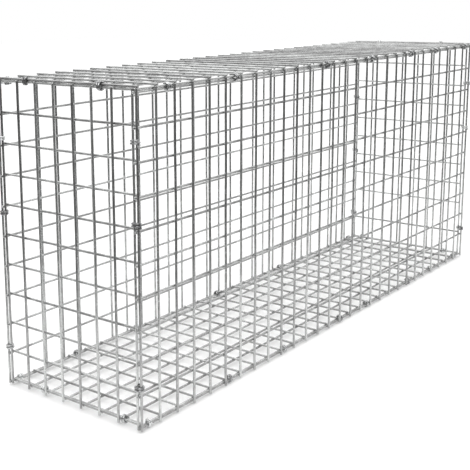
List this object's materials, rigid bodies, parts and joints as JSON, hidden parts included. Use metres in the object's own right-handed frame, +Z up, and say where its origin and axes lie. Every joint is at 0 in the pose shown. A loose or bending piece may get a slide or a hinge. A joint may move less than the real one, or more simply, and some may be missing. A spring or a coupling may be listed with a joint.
{
  "type": "gabion basket",
  "caption": "Empty long box of welded wire mesh with a closed lid, its panels tied along every edge with wire rings, made to be filled with stone.",
  "frame": {"origin": "centre of the footprint on the floor", "axes": "+Z up, X along the length, -Y towards the front long side, the side to the right of the picture's near corner"},
  "size_m": [1.2202, 0.3032, 0.5221],
  "materials": {
    "zinc_wire": "galvanised",
    "ring_wire": "bright galvanised"
  },
  "bodies": {
    "root": {"front_mesh": "zinc_wire", "back_mesh": "zinc_wire", "left_end_mesh": "zinc_wire", "right_end_mesh": "zinc_wire", "base_mesh": "zinc_wire", "lid_mesh": "zinc_wire", "rings_top_front": "ring_wire", "rings_top_back": "ring_wire", "rings_top_left": "ring_wire", "rings_top_right": "ring_wire", "rings_bottom_front": "ring_wire", "rings_bottom_back": "ring_wire", "rings_bottom_left": "ring_wire", "rings_bottom_right": "ring_wire", "rings_front_left": "ring_wire", "rings_back_left": "ring_wire", "rings_front_right": "ring_wire", "rings_back_right": "ring_wire"}
  },
  "joints": []
}
